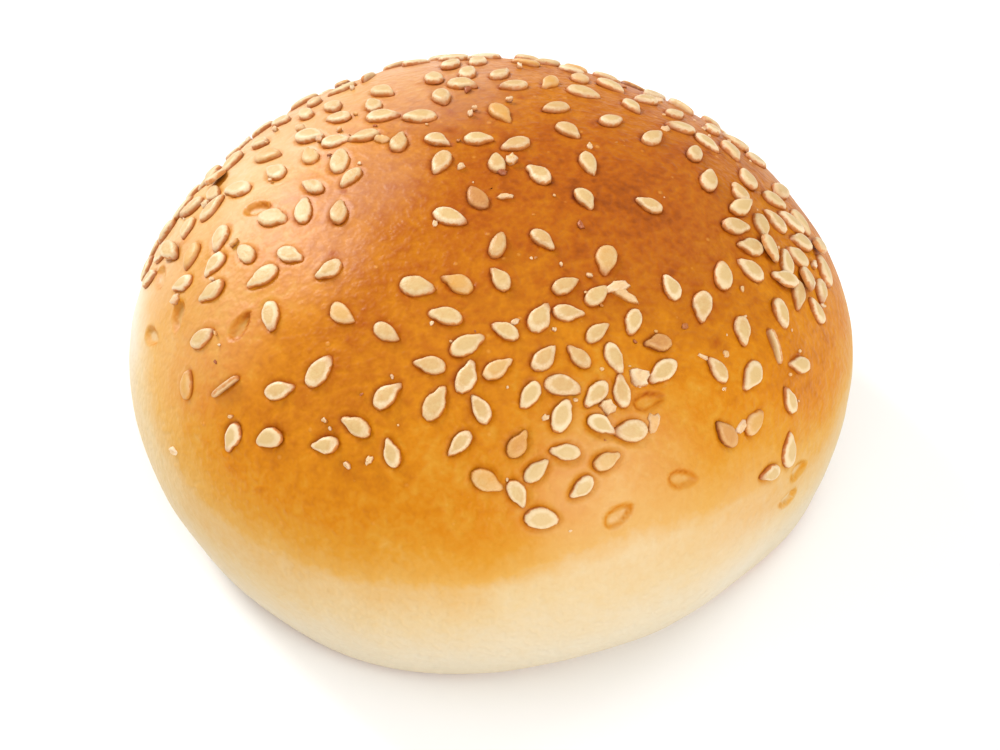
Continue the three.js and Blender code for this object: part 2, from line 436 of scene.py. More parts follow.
def facing_low_side(seed, local):
    """How far points round a seed's middle face its shaded side: 1 in front of it, -1 behind."""
    return local[:, :2] @ seed["low_side"] / np.maximum(np.hypot(*local[:, :2].T), 0.1)


for seed in seeds:
    near = near_points(seed["place"])
    local = (points[near] - seed["place"]) @ seed["axes"]
    width = SEED_HEIGHT if seed["on_edge"] else seed["width"]
    gap = from_outline(local[:, 0], local[:, 1], seed["length"], width)
    out = np.maximum(gap, 0)
    sunk = smooth(SUNK_FROM_NORTH, SUNK_AT_NORTH, seed["north"])
    seed["sunk"] = sunk
    depth = SOCKET_DEPTH * (1 + SUNK_DEEPER * sunk)
    raise_to(socket, near, depth * np.exp(-(out / (SOCKET_WIDTH * (1 + SUNK_WIDER * sunk))) ** 2))
    raise_to(lip, near, LIP_RISE * np.exp(-((gap - LIP_OUT) / LIP_WIDTH) ** 2))
    low_side = ((shade_spot_place - seed["place"]) @ seed["axes"])[:2]
    seed["low_side"] = low_side / max(math.hypot(*low_side), SHADE_SIDE_NEAR)
    # Painted shade: the line is wider and darker on the seed's shaded side
    toward_shade = 1 + facing_low_side(seed, local) * (SHADED_SIDE_GAIN + SUNK_SHADED_SIDE_GAIN * sunk)
    line_width = LINE_WIDTH * (1 + SUNK_LINE_WIDER * sunk) * np.sqrt(toward_shade)
    line_darkening = (LINE_BROWNING_AND_SHADE - SUNK_LINE_PALER * sunk) * np.minimum(toward_shade, MOST_SHADED_SIDE)
    raise_to(scorch, near, line_darkening * np.exp(-(out / line_width) ** 2))
for east, north, tip in IMPRINTS:
    place, axes = crust_frame(east, north)
    near = near_points(place)
    offset = points[near] - place
    local = offset @ (axes @ turn_z(math.radians(tip)))
    gap = from_outline(local[:, 0], local[:, 1], SEED_LENGTH, IMPRINT_WIDTH * SEED_WIDTH)
    raise_to(socket, near, IMPRINT_DEPTH * smooth(*IMPRINT_WALL, gap))
    raise_to(lip, near, IMPRINT_LIP * LIP_RISE
             * np.exp(-((gap - IMPRINT_LIP_OUT) / IMPRINT_LIP_OUT) ** 2))
    browned = np.clip(bake[near], 0, 1)
    uphill = offset @ -axes[:, 0] / np.maximum(np.linalg.norm(offset, axis=1), 0.1)
    # Painted shade: the ring is darkest on its uphill side, where the wall is in shadow
    ring = (RING_BROWNING + RING_BROWNING_MORE * browned) * (1 - RING_UPHILL_SHADE + RING_UPHILL_SHADE * uphill)
    raise_to(scorch, near, ring * np.exp(-((gap - RING_AT) / RING_WIDTH) ** 2))
    raise_to(spared, near, SPARED * browned * smooth(*SPARED_INSIDE, gap))

# Small stains where the egg wash has caught, each beside a seed. What differs by chance from
# here on is drawn from vary, in the same order each time.
STAINS = 44
vary = np.random.default_rng(11)
for _ in range(STAINS):
    seed = seeds[vary.integers(len(seeds))]
    bearing = vary.uniform(0, 2 * math.pi)
    away = vary.uniform(1.6, 3.2)
    place, axes = crust_frame(seed["east"] + away * math.cos(bearing),
                              seed["north"] + away * math.sin(bearing))
    near = near_points(place)
    local = (points[near] - place) @ axes @ turn_z(bearing)
    wide, slim = vary.uniform(0.5, 1.1), vary.uniform(0.3, 0.6)
    stain = np.exp(-((local[:, 0] / wide) ** 2 + (local[:, 1] / slim) ** 2))
    raise_to(scorch, near, vary.uniform(0.2, 0.6) * stain)

baked_points = points + normals * (rise + lip - socket)[:, None]
baked_points[:, 2] = np.maximum(baked_points[:, 2], 0)

# Where the egg wash lies thick enough to shine: east, north, reach and how thick. It doesn't
# shine on the scorched marks and the painted shade round the seeds.
WASHED_SPOTS = [
    (-24, 17, 14, 1.0),
    (-8, 21, 11, 1.0),
    (-44, 4, 12, 1.0),
    (-28, 7, 11, 0.65),
    (-34, -11, 10, 0.55),
    (38, -38, 10, 0.7),
    (30, 26, 12, 0.2),
    (16, -37, 11, 0.5),
    (-16, 4, 9, 0.5),
    (-22, -5, 9, 0.4),
]
wash = np.zeros(len(points))
for east, north, reach, thick in WASHED_SPOTS:
    far = np.hypot(crust_east - east, crust_north - north)
    wash = np.maximum(wash, thick * np.exp(-(far / reach) ** 4))
wash = wash * (1 - np.clip(1.3 * scorch, 0, 1))

# The underside is flat but for a slight hollow, and golden from the tin. The tin has coloured
# the rounded edge too, and less so from the lower height to the upper one.
UNDERSIDE_RINGS = 14
UNDERSIDE_HOLLOW = 0.25
RING_THINNING = 0.75  # each ring has this share of the points of the ring outside it
TIN_UPPER, TIN_LOWER = 1.6, 0.2

# The fan at the crown joins six of the first ring's seven points, so one triangle is left open
# there, with sides of up to 0.6 mm
CROWN_FAN = 6
fan = np.arange(CROWN_FAN)
faces = [np.stack([0 * fan, 1 + fan, 1 + (fan + 1) % CROWN_FAN], 1)]
first = 1
for count, next_count in zip(ring_counts, ring_counts[1:]):
    faces.append(ring_band(first, count, first + count, next_count))
    first += count
last_count = ring_counts[-1]
next_first = len(points)
under_points = []
for ring in range(1, UNDERSIDE_RINGS):
    share = 1 - ring / UNDERSIDE_RINGS
    count = max(2 * FEWEST_IN_RING, round(last_count * RING_THINNING))
    rim = crust_point(around(count), 2.0)
    rim[:, :2] *= share
    rim[:, 2] = UNDERSIDE_HOLLOW * (1 - share)
    under_points.append(rim)
    faces.append(ring_band(first, last_count, next_first, count))
    first, last_count = next_first, count
    next_first += count
under_points.append(np.array([[0.0, 0.0, UNDERSIDE_HOLLOW]]))
ring = np.arange(last_count)
middle = np.full(last_count, next_first)
faces.append(np.stack([middle, first + (ring + 1) % last_count, first + ring], 1))
under_points = np.concatenate(under_points)
crust_faces = np.concatenate(faces)
crust_points = np.concatenate([baked_points, under_points])
edge = smooth(TIN_UPPER, TIN_LOWER, points[:, 2]) * (way > 1)
under = np.concatenate([edge, np.ones(len(under_points))])
bake, scorch, spared, wash = [np.concatenate([layer, np.zeros(len(under_points))])
                              for layer in (bake, scorch, spared, wash)]


def make_mesh(name, points, faces, **layers):
    """A smooth mesh piece from points in mm, with one number a point under each given name."""
    mesh = bpy.data.meshes.new(name)
    mesh.vertices.add(len(points))
    mesh.vertices.foreach_set("co", (np.asarray(points, np.float32) * MM).ravel())
    mesh.loops.add(3 * len(faces))
    mesh.loops.foreach_set("vertex_index", np.asarray(faces, np.int32).ravel())
    mesh.polygons.add(len(faces))
    mesh.polygons.foreach_set("loop_start", np.arange(0, 3 * len(faces), 3, dtype=np.int32))
    mesh.update(calc_edges=True)
    mesh.validate()
    mesh.polygons.foreach_set("use_smooth", np.ones(len(faces), bool))
    for layer_name, numbers in layers.items():
        layer = mesh.attributes.new(layer_name, "FLOAT", "POINT")
        layer.data.foreach_set("value", np.asarray(numbers, np.float32))
    piece = bpy.data.objects.new(name, mesh)
    bpy.context.scene.collection.objects.link(piece)
    return piece


def shade(tree, kind, inputs=None, **settings):
    """A shader node with its settings, and each input given a value or a link."""
    node = tree.nodes.new(kind)
    for key, value in settings.items():
        setattr(node, key, value)
    for key, value in (inputs or {}).items():
        if isinstance(value, bpy.types.NodeSocket):
            tree.links.new(value, node.inputs[key])
        else:
            node.inputs[key].default_value = value
    return node


def sums(tree, operation, first, second=0.0, third=0.0):
    inputs = {0: first, 1: second, 2: third}
    return shade(tree, "ShaderNodeMath", inputs, operation=operation).outputs[0]


def mix(tree, share, low, high):
    node = shade(tree, "ShaderNodeMix", {0: share, 6: low, 7: high}, data_type="RGBA")
    return node.outputs[2]


def laid_on(tree, *names):
    """The numbers that the mesh holds for each point under these names."""
    return [shade(tree, "ShaderNodeAttribute", attribute_name=name).outputs["Fac"]
            for name in names]


def tone(red, green, blue):
    """A colour given as it looks on a screen, 0 to 255, as the shader needs it."""
    channels = np.array([red, green, blue]) / 255
    linear = np.where(channels <= 0.04045, channels / 12.92, ((channels + 0.055) / 1.055) ** 2.4)
    return (*[float(c) for c in linear], 1.0)


def tone_ramp(tree, share, stops):
    ramp = shade(tree, "ShaderNodeValToRGB", {0: share})
    elements = ramp.color_ramp.elements
    while len(elements) < len(stops):
        elements.new(0.5)
    for element, (position, colour) in zip(elements, stops):
        element.position = position
        element.color = colour
    return ramp.outputs[0]


def new_material(name):
    material = bpy.data.materials.new(name)
    material.use_nodes = True
    material.node_tree.nodes.clear()
    return material, material.node_tree


def make_oven_mottle():
    """The uneven browning of anything baked: clouds, patches and specks, each around 0."""
    group = bpy.data.node_groups.new("oven_mottle", "ShaderNodeTree")
    for name in ("Cloud size", "Patch size", "Speck size"):
        group.interface.new_socket(name, in_out="INPUT", socket_type="NodeSocketFloat")
    for name in ("Clouds", "Patches", "Specks"):
        group.interface.new_socket(name, in_out="OUTPUT", socket_type="NodeSocketFloat")
    start = group.nodes.new("NodeGroupInput")
    end = group.nodes.new("NodeGroupOutput")
    where = shade(group, "ShaderNodeTexCoord").outputs["Object"]
    for size, out, detail in (("Cloud size", "Clouds", 2), ("Patch size", "Patches", 2),
                              ("Speck size", "Specks", 1)):
        scale = sums(group, "DIVIDE", 1.0, start.outputs[size])
        texture = shade(group, "ShaderNodeTexNoise", {"Vector": where, "Scale": scale,
                                                      "Detail": detail, "Roughness": 0.5})
        centred = sums(group, "SUBTRACT", texture.outputs[0], 0.5)
        group.links.new(sums(group, "MULTIPLY", centred, 3.0), end.inputs[out])
    return group


oven_mottle = make_oven_mottle()


def mottled(tree, cloud_size, patch_size, speck_size):
    """The clouds, patches and specks of the oven mottle, of these sizes in mm."""
    sizes = {"Cloud size": cloud_size * MM, "Patch size": patch_size * MM,
             "Speck size": speck_size * MM}
    mottle = shade(tree, "ShaderNodeGroup", sizes, node_tree=oven_mottle)
    return [mottle.outputs[name] for name in ("Clouds", "Patches", "Specks")]


# The crust's tones, each with how far it has browned, and the underside's, each with its place
# on the ramp
# The palest tone is greyed a little, as painted shade on the low pale band above the foot
BROWNING = [(0.0, tone(217, 203, 176)), (0.12, tone(216, 188, 140)), (0.27, tone(212, 159, 75)),
            (0.45, tone(207, 141, 38)), (0.7, tone(202, 124, 12)), (1.0, tone(183, 104, 8)),
            (1.25, tone(168, 84, 6)), (1.7, tone(104, 38, 4))]
TIN_BROWNING = [(0.1, tone(160, 92, 34)), (0.45, tone(204, 140, 66)), (0.8, tone(222, 172, 104))]
# A ramp runs from 0 to 1 only, so the browning is scaled and moved to fit
RAMP_SCALE = 0.56
RAMP_START = 0.04

crust_material, tree = new_material("egg_washed_crust")
baked, scorched, spared_here, washed, underside = laid_on(
    tree, "bake", "scorch", "spared", "wash", "under")
clouds, patches, specks = mottled(tree, 11, 2.4, 0.8)
brown_enough = sums(tree, "MULTIPLY_ADD", sums(tree, "POWER", baked, 3.0), 3.6, 0.09)
brown_enough = sums(tree, "MINIMUM", brown_enough, 1.0)
cloudy_enough = sums(tree, "MINIMUM", sums(tree, "MULTIPLY", baked, 2.5), 1.0)
clouding = sums(tree, "MULTIPLY", sums(tree, "MULTIPLY", clouds, 0.12), cloudy_enough)
uneven = sums(tree, "MULTIPLY_ADD", specks, 0.16, sums(tree, "MULTIPLY", patches, 0.2))
browned = sums(tree, "MULTIPLY_ADD", uneven, brown_enough, sums(tree, "ADD", baked, clouding))
# Scorch marks and stains, and the painted shade at the seeds' feet and imprint walls, brown the
# crust further
browned = sums(tree, "MULTIPLY_ADD", scorched, 0.6, browned)
browned = sums(tree, "MULTIPLY_ADD", spared_here, -0.45, browned)
on_ramp = sums(tree, "MULTIPLY_ADD", browned, RAMP_SCALE, RAMP_START)
colour = tone_ramp(tree, on_ramp, [(RAMP_START + RAMP_SCALE * level, hue)
                                   for level, hue in BROWNING])
tinned = sums(tree, "MULTIPLY_ADD", clouds, 0.3, 0.45)
tinned = sums(tree, "MULTIPLY_ADD", patches, 0.25, tinned)
tinned = sums(tree, "MULTIPLY_ADD", specks, 0.2, tinned)
colour = mix(tree, underside, colour, tone_ramp(tree, tinned, TIN_BROWNING))

# Tiny blisters stay paler than the crust round them, and only show where it has browned
BLISTER_TONE = tone(222, 150, 62)
BLISTER_GAP = 1.7
where = shade(tree, "ShaderNodeTexCoord").outputs["Object"]
cells = shade(tree, "ShaderNodeTexVoronoi", {"Vector": where, "Scale": 1 / (BLISTER_GAP * MM)})
own_size = shade(tree, "ShaderNodeSeparateColor", {"Color": cells.outputs["Color"]})
blister_reach = sums(tree, "MULTIPLY_ADD", own_size.outputs[0], 0.42, -0.2)
blister = sums(tree, "SUBTRACT", blister_reach, cells.outputs["Distance"])
blister = sums(tree, "MULTIPLY", sums(tree, "MAXIMUM", blister, 0.0), 9.0)
blister = sums(tree, "MULTIPLY", sums(tree, "MINIMUM", blister, 1.0), brown_enough)
colour = mix(tree, sums(tree, "MULTIPLY", blister, 0.5), colour, BLISTER_TONE)

# The pale dough is matt, and the skin gets smoother as it browns
gloss = sums(tree, "MULTIPLY", baked, 2.2)
gloss = sums(tree, "MINIMUM", sums(tree, "MAXIMUM", gloss, 0.0), 1.0)
roughness = sums(tree, "MULTIPLY_ADD", gloss, -0.37, 0.8)
roughness = sums(tree, "MULTIPLY_ADD", specks, 0.04, roughness)
skin = sums(tree, "ADD", blister, sums(tree, "MULTIPLY_ADD", patches, 0.5, specks))
bump = shade(tree, "ShaderNodeBump", {"Height": skin, "Strength": 0.6, "Distance": 0.12 * MM})
surface = shade(tree, "ShaderNodeBsdfPrincipled", {
    "Base Color": colour, "Roughness": roughness, "Normal": bump.outputs[0],
    "Specular IOR Level": 0.12, "Coat Weight": washed, "Coat Roughness": 0.5, "Coat IOR": 1.9})
shade(tree, "ShaderNodeOutputMaterial", {"Surface": surface.outputs[0]})

crust = make_mesh("baked_crust", crust_points, crust_faces, bake=bake, scorch=scorch,
                  spared=spared, under=under, wash=wash)
crust.data.materials.append(crust_material)
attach(crust, "root")
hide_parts("bread_roll")


# The sesame seeds: hulled and cream coloured, flat teardrops with rounded edges and mostly with
# a paler rim. They are held by the egg wash, which has baked to a thin brown line at each foot,
# darkened with painted contact shade.
SEED_CORNERS = 24
# From the buried foot to the middle of the face: share of the outline, and height as a share.
# A seed on its edge shows both faces, so its rings run from one face to the other.
SEED_RINGS = [(0.6, -0.3), (0.97, -0.2), (1.02, 0.0), (1.01, 0.22), (0.985, 0.45), (0.935, 0.66),
              (0.85, 0.83), (0.72, 0.93), (0.5, 0.98), (0.25, 1.0)]
EDGE_RINGS = [(0.6, -0.97), (0.86, -0.84), (0.97, -0.5), (1.0, -0.15), (1.0, 0.15), (0.97, 0.5),
              (0.93, 0.7), (0.86, 0.84), (0.6, 0.97), (0.3, 1.0)]
FACE_ABOVE = 0.3  # rings above this height share belong to the face

# How single seeds differ, as the lowest and the highest, or as a spread round 0
TIP_SHARPNESS_RANGE = (0.1, 0.45)
NECK_RANGE = (0.08, 0.42)  # how far the sides draw in before the tip
BEND_SPREAD = 0.11
LOPSIDED_SPREAD = 0.08
DOME_RANGE = (-0.05, 0.12)  # a hollow face to a domed one
WOBBLE_SPREAD = 0.016
THICKNESS_RANGE = (0.85, 1.0)
LEAN_SPREAD = 0.04
NECK_AT = 0.58
NECK_REACH = 0.32
TIP_DROP = 0.16  # the face is this much lower at the tip, as a share of the thickness
ON_EDGE_ROLL = 80  # degrees
ON_EDGE_WIDTH = 0.72
ON_EDGE_SQUARENESS = 0.45
FOOT_LINE = 0.3  # height of the dark foot line on a seed, baked egg and painted contact shade, and how much higher on its shaded side
FOOT_LINE_SHADED_SIDE = 0.25


def turn_x(angle):
    c, s = math.cos(angle), math.sin(angle)
    return np.array([[1, 0, 0], [0, c, -s], [0, s, c]])


def seed_points(seed):
    """One seed's points in mm, ring by ring with the middles of both faces last, and for each
    point how far it lies along the seed, towards the edge, and in the dark foot line of baked egg
    and painted shade."""
    along, aside = teardrop(around(SEED_CORNERS), vary.uniform(*TIP_SHARPNESS_RANGE))
    neck = vary.uniform(*NECK_RANGE)
    bend = vary.normal(0, BEND_SPREAD)
    lopsided = vary.normal(0, LOPSIDED_SPREAD)
    dome = vary.uniform(*DOME_RANGE)
    wobble = 1 + vary.normal(0, WOBBLE_SPREAD, SEED_CORNERS)
    thick = SEED_HEIGHT * vary.uniform(*THICKNESS_RANGE)
    lean = vary.normal(0, LEAN_SPREAD)
    rings = EDGE_RINGS if seed["on_edge"] else SEED_RINGS
    points, ahead, shares = [], [], []
    for share, level in rings + [(0.0, 1.0), (0.0, rings[0][1])]:
        x = along * share * wobble
        if seed["on_edge"]:
            y = ON_EDGE_WIDTH * share * np.sign(aside) * np.abs(aside) ** ON_EDGE_SQUARENESS
            z = np.full(SEED_CORNERS, level * thick / 2)
        else:
            y = aside * share * wobble * (1 + lopsided * np.sign(aside))
            y = y * (1 - neck * np.exp(-((x - NECK_AT) / NECK_REACH) ** 2))
            y = y + bend * (x ** 2 - 0.4) * min(1, 2 * share)
            z = level * thick + (dome * (1 - share ** 2) + lean * y) * (level > FACE_ABOVE)
            z = z - TIP_DROP * thick * np.clip(x, 0, 1) ** 2 * (level > FACE_ABOVE)
        scaled = np.stack([x * seed["length"] / 2, y * seed["width"] / 2, z], 1)
        points.append(scaled if share else scaled.mean(0, keepdims=True))
        ahead.append(x if share else [0.0])
        shares.append(np.full(len(points[-1]), share))
    local = np.concatenate(points)
    if seed["on_edge"]:
        local = local @ turn_x(math.radians(ON_EDGE_ROLL)).T
    local = local @ seed["lifted"].T + [0, 0, seed["lift"]]
    # The foot line is painted higher on the side that faces the shade spot
    toward_shade = np.maximum(facing_low_side(seed, local), 0)
    foot = smooth(FOOT_LINE + FOOT_LINE_SHADED_SIDE * toward_shade, 0.0, local[:, 2])
    layers = np.stack([np.concatenate(ahead), np.concatenate(shares), foot])
    return seed["place"] + local @ seed["axes"].T, layers


def closed_faces(corners, rings):
    """The triangles of a closed lump made of rings, with the middles of both faces last."""
    faces = [ring_band(ring * corners, corners, (ring + 1) * corners, corners)[:, ::-1]
             for ring in range(rings - 1)]
    ring = np.arange(corners)
    after = (ring + 1) % corners
    last = (rings - 1) * corners
    top = np.full(corners, rings * corners)
    faces.append(np.stack([last + ring, last + after, top], 1))
    faces.append(np.stack([after, ring, top + 1], 1))
    return np.concatenate(faces)


def join(parts, face_pattern):
    """Like pieces joined into one: their points, and the faces of all."""
    size = len(parts[0])
    faces = [face_pattern + i * size for i in range(len(parts))]
    return np.concatenate(parts), np.concatenate(faces)


# A seed that lies partly on another one is lifted by this much, and tilted by these degrees
LIFTED_BY = 0.42
LIFTED_TILT = 13
OVERLAP = 0.1  # outlines that cross by less than this don't count
OVERLAP_CORNERS = 16


def outline_overlap(seed, other):
    """Whether two seeds' outlines cross, and the bearing of the other one."""
    apart = (other["place"] - seed["place"]) @ seed["axes"]
    if math.hypot(apart[0], apart[1]) > SEED_LENGTH:
        return False, 0.0
    along, aside = teardrop(around(OVERLAP_CORNERS))
    rim = np.stack([along * other["length"] / 2, aside * other["width"] / 2, 0 * along], 1)
    rim = (other["place"] + rim @ other["axes"].T - seed["place"]) @ seed["axes"]
    inside = from_outline(rim[:, 0], rim[:, 1], seed["length"], seed["width"]) < -OVERLAP
    return bool(inside.any()), math.atan2(apart[1], apart[0])


for number, seed in enumerate(seeds):
    seed["lift"], seed["lifted"] = 0.0, np.eye(3)
    for other in seeds[:number]:
        crossing, bearing = outline_overlap(seed, other)
        if crossing and not seed["on_edge"] and not other["on_edge"] and other["lift"] == 0:
            seed["lift"] = LIFTED_BY
            seed["lifted"] = (turn_z(bearing) @ turn_y(-math.radians(LIFTED_TILT))
                              @ turn_z(-bearing))
            break

# The seeds ride on the lumps of the crust, and sit this deep in it
SEATED = 0.06
SUNK_SEATED = 0.14
for seed, lumped in zip(seeds, lumps(np.array([seed["place"] for seed in seeds]))):
    raised = lumped - SEATED - SUNK_SEATED * seed["sunk"]
    seed["place"] = seed["place"] + seed["axes"][:, 2] * raised

# Some tips have browned, and baked egg lies on some seeds. Seeds near the crown are tanned most.
BROWNED_TIPS = 0.3
EGGED = 0.1
CROWN_TAN = 2.2
TAN_LOST = 0.055  # for each millimetre away from the crown


def seed_piece(name, group, material):
    """The seeds of one kind as one piece."""
    made = [seed_points(seed) for seed in group]
    points, faces = join([part for part, _ in made], closed_faces(SEED_CORNERS, len(SEED_RINGS)))
    ahead, shares, foot = np.concatenate([layers for _, layers in made], axis=1)
    size = len(made[0][0])
    count = len(group)
    tip_browned = np.where(vary.uniform(0, 1, count) < BROWNED_TIPS,
                           vary.uniform(0.3, 1, count), 0.1)
    egged = np.where(vary.uniform(0, 1, count) < EGGED, vary.uniform(0.3, 0.7, count), 0)
    rim = vary.uniform(0.4, 1, count)
    from_crown = [math.hypot(seed["east"], seed["north"]) for seed in group]
    own = vary.normal(0, 1, count) + CROWN_TAN - TAN_LOST * np.array(from_crown)
    piece = make_mesh(name, points, faces, face=1 - shares, foot=foot,
                      tip=smooth(0.45, 1.0, ahead) * np.repeat(tip_browned, size),
                      egged=np.repeat(egged, size), rim=np.repeat(rim, size),
                      own=np.repeat(own, size))
    piece.data.materials.append(material)
    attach(piece, "root")


EGG_TONE = tone(210, 144, 34)
BROWNED_TIP_TONE = tone(176, 104, 42)


def seed_material(name, rim_tone, face_tone, tan_tone, side_and_shade_tone, line_and_shade_tone):
    """Seed flesh with a lighter rim and a mottled face, sides darkened with painted shade, and a
    dark foot line of baked egg and painted contact shade.
    """
    material, tree = new_material(name)
    face, foot, tip, egged, rim, own = laid_on(tree, "face", "foot", "tip", "egged", "rim", "own")
    clouds, patches, specks = mottled(tree, 1.6, 0.6, 0.22)
    inward = sums(tree, "MULTIPLY_ADD", patches, 0.1, face)
    # The sides start from a darker tone, as painted shade on walls that turn from the light
    rimmed = tone_ramp(tree, inward, [(0.0, side_and_shade_tone), (0.07, rim_tone), (0.24, rim_tone),
                                      (0.5, face_tone), (1.0, face_tone)])
    plain = tone_ramp(tree, inward, [(0.0, side_and_shade_tone), (0.1, face_tone), (1.0, face_tone)])
    flesh = mix(tree, rim, plain, rimmed)
    tan = sums(tree, "MULTIPLY_ADD", clouds, 0.5, patches)
    tan = sums(tree, "MULTIPLY_ADD", specks, 0.6, tan)
    tan = sums(tree, "MULTIPLY_ADD", own, 0.15, sums(tree, "MULTIPLY", tan, 0.3))
    tan = sums(tree, "MINIMUM", sums(tree, "MAXIMUM", tan, 0.0), 0.8)
    flesh = mix(tree, tan, flesh, tan_tone)
    eggy = sums(tree, "MULTIPLY_ADD", clouds, 0.5, 0.9)
    eggy = sums(tree, "MINIMUM", sums(tree, "MULTIPLY", eggy, egged), 0.85)
    flesh = mix(tree, sums(tree, "MAXIMUM", eggy, 0.0), flesh, EGG_TONE)
    flesh = mix(tree, sums(tree, "MULTIPLY", tip, 0.75), flesh, BROWNED_TIP_TONE)
    # The foot line: baked egg and painted contact shade
    flesh = mix(tree, sums(tree, "MULTIPLY", foot, 0.72), flesh, line_and_shade_tone)
    skin = sums(tree, "MULTIPLY_ADD", specks, 0.4, patches)
    bump = shade(tree, "ShaderNodeBump", {"Height": skin, "Strength": 0.5, "Distance": 0.05 * MM})
    surface = shade(tree, "ShaderNodeBsdfPrincipled", {
        "Base Color": flesh, "Roughness": 0.47, "Normal": bump.outputs[0],
        "Specular IOR Level": 0.6})
    shade(tree, "ShaderNodeOutputMaterial", {"Surface": surface.outputs[0]})
    return material


# The seeds nearest to these places, east and north, have browned through
TOASTED_SPOTS = [(2, -2), (2, -30), (18, -19), (30, -27), (-16, 34), (20, 36)]
for east, north in TOASTED_SPOTS:
    nearest(seeds, east, north)["toasted"] = True
pale_seeds = [seed for seed in seeds if not seed["toasted"]]
pale_seed = seed_material("pale_seed", rim_tone=tone(233, 208, 166), face_tone=tone(208, 174, 114),
                          tan_tone=tone(198, 144, 78), side_and_shade_tone=tone(204, 132, 62),
                          line_and_shade_tone=tone(164, 82, 20))
seed_piece("sesame_seeds", pale_seeds, pale_seed)


# The toasted seeds: a few of the seeds have browned right through in the oven. They are of the
# same form as the pale ones, and the egg wash holds them in the same way.
toasted_seeds = [seed for seed in seeds if seed["toasted"]]
toasted_seed = seed_material("toasted_seed", rim_tone=tone(214, 164, 98),
                             face_tone=tone(200, 140, 68), tan_tone=tone(176, 106, 42),
                             side_and_shade_tone=tone(172, 98, 34), line_and_shade_tone=tone(124, 58, 14))
seed_piece("toasted_seeds", toasted_seeds, toasted_seed)


# The chips: seeds that broke, and crumbs of them, lie between the whole ones and are stuck down
# by the egg wash in the same way. Each is a low lump with a broken edge and rough faces.
CHIP_CORNERS = 11
CHIP_RINGS = [(0.9, -0.4), (1.0, 0.1), (0.92, 0.6), (0.7, 0.95), (0.35, 1.0)]
# East, north, length, width, height and turn of the larger ones
LARGE_CHIPS = [
    (12.9, -12.6, 2.9, 1.2, 0.6, 70),
    (14.6, -13.4, 3.0, 1.1, 0.55, 20),
    (17.2, -23.6, 2.4, 2.0, 0.9, 40),
    (12.9, -25.3, 1.9, 1.6, 0.9, 10),
    (17.9, -27, 2.2, 1.4, 0.5, 150),
    (-3.1, 3.1, 1.0, 0.7, 0.5, 90),
    (-42.3, -23.1, 1.3, 0.9, 0.5, 80),
    (30.4, -24.7, 2.1, 1.0, 0.5, 100),
    (24.5, -18.9, 1.6, 0.5, 0.4, 25),
    (1.7, -1.5, 1.9, 0.7, 0.35, 50),
    (0.9, 4.2, 1.5, 1.2, 0.6, 30),
    (-22, 15.7, 1.8, 1.0, 0.6, 160),
    (-12, 9, 1.6, 0.9, 0.5, 30),
    (-37.7, -5.5, 1.5, 1.1, 0.5, 60),
    (-34, 8, 1.3, 0.8, 0.5, 0),
    (20, 14, 1.2, 0.8, 0.5, 120),
]
LARGE_RAGGED = 0.24  # how far the broken edge strays, as a share of the radius
# How many of the smaller ones, their sizes, and how ragged they are
SMALL_CHIPS, SMALL_CHIP_SIZES, SMALL_RAGGED = 40, (0.45, 1.1), 0.25
DUST, DUST_SIZES, DUST_RAGGED = 64, (0.25, 0.55), 0.15

SEARCH_RINGS = 24
SEARCH_STEP = 0.3
CLEAR_OF_IMPRINT = 1.6
CLEAR_ABOVE = 3  # a seed farther than this over or under the spot isn't in the way


def is_clear(east, north, place, room):
    """Whether a piece that needs this room lies clear of every imprint and every seed."""
    if any(math.hypot(east - i[0], north - i[1]) < CLEAR_OF_IMPRINT + room for i in IMPRINTS):
        return False
    for seed in seeds:
        offset = seed["axes"].T @ (place - seed["place"])
        along = abs(offset[0]) / (seed["length"] / 2 + room)
        aside = abs(offset[1]) / (seed["width"] / 2 + room)
        if along ** 2 + aside ** 2 < 1 and abs(offset[2]) < CLEAR_ABOVE:
            return False
    return True


def clear_spot(east, north, room):
    """The nearest spot to this one that is clear, searched ring by ring round it."""
    for ring in range(SEARCH_RINGS):
        for turned in around(max(1, 6 * ring)):
            try_east = east + SEARCH_STEP * ring * math.cos(turned)
            try_north = north + SEARCH_STEP * ring * math.sin(turned)
            place, axes = crust_frame(try_east, try_north)
            if is_clear(try_east, try_north, place, room):
                return place, axes
    return None


def broken_points(place, axes, length, width, height, turn, rings, ragged):
    """A closed lump with a jagged outline and a rough, sloping top, in mm."""
    turns = around(CHIP_CORNERS) + vary.uniform(-0.2, 0.2, CHIP_CORNERS)
    radii = vary.uniform(1 - ragged, 1 + ragged, CHIP_CORNERS)
    slope = vary.uniform(-0.3, 0.3, 2)
    points = []
    for share, level in rings + [(0.0, 1.0), (0.0, rings[0][1])]:
        rough = share * radii * (1 + vary.normal(0, 0.25 * ragged, CHIP_CORNERS))
        x, y = np.cos(turns) * rough, np.sin(turns) * rough
        z = height * (level + (slope[0] * x + slope[1] * y) * (level > 0))
        z = z + height * vary.normal(0, 0.5 * ragged, CHIP_CORNERS) * (level > 0.5)
        scaled = np.stack([x * length / 2, y * width / 2, z], 1)
        points.append(scaled if share else scaled.mean(0, keepdims=True))
    return place + np.concatenate(points) @ (axes @ turn_z(turn)).T


def scatter_by_seeds(count, sizes):
    """Spots for small bits, each near some seed: place, axes and size."""
    spots = []
    while len(spots) < count:
        seed = seeds[vary.integers(len(seeds))]
        size = vary.uniform(*sizes)
        away, bearing = vary.uniform(1.5, 5), vary.uniform(0, 2 * math.pi)
        spot = clear_spot(seed["east"] + away * math.cos(bearing),
                          seed["north"] + away * math.sin(bearing), size / 2)
        if spot:
            spots.append((*spot, size))
    return spots


